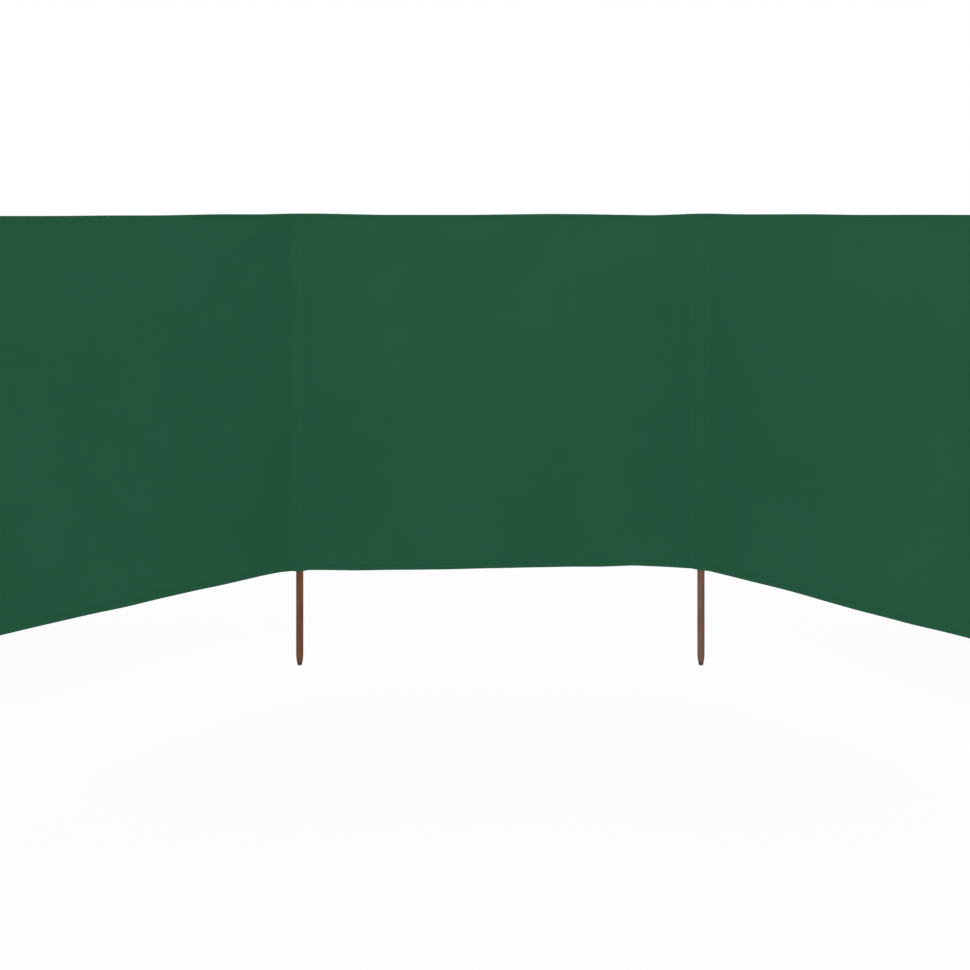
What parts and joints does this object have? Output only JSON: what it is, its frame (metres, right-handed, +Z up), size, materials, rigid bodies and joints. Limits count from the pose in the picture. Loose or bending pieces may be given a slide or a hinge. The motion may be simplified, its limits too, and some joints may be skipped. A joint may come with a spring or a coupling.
{
  "type": "fabric windbreak",
  "caption": "Staked fabric windbreak: bays of plain woven cloth with turned hems, stretched between pointed round wooden posts that stand in sewn closed-top pockets.",
  "frame": {"origin": "centre of the blunt end of the post at the left of the middle bay", "axes": "+X along the middle bay to the right as seen from the front, +Y to the back, +Z up along the posts"},
  "size_m": [5.9893, 0.9779, 1.4993],
  "materials": {
    "cloth": "matt dark green plain weave",
    "wood": "brown stained softwood, matt"
  },
  "bodies": {
    "root": {"post_1": "wood", "post_2": "wood", "post_3": "wood", "post_4": "wood", "post_5": "wood", "post_6": "wood", "pocket_1": "cloth", "pocket_2": "cloth", "pocket_3": "cloth", "pocket_4": "cloth", "pocket_5": "cloth", "pocket_6": "cloth", "panel_1": "cloth", "panel_2": "cloth", "panel_3": "cloth", "panel_4": "cloth", "panel_5": "cloth", "top_hem_1": "cloth", "top_hem_2": "cloth", "top_hem_3": "cloth", "top_hem_4": "cloth", "top_hem_5": "cloth", "lower_hem_1": "cloth", "lower_hem_2": "cloth", "lower_hem_3": "cloth", "lower_hem_4": "cloth", "lower_hem_5": "cloth"}
  },
  "joints": []
}
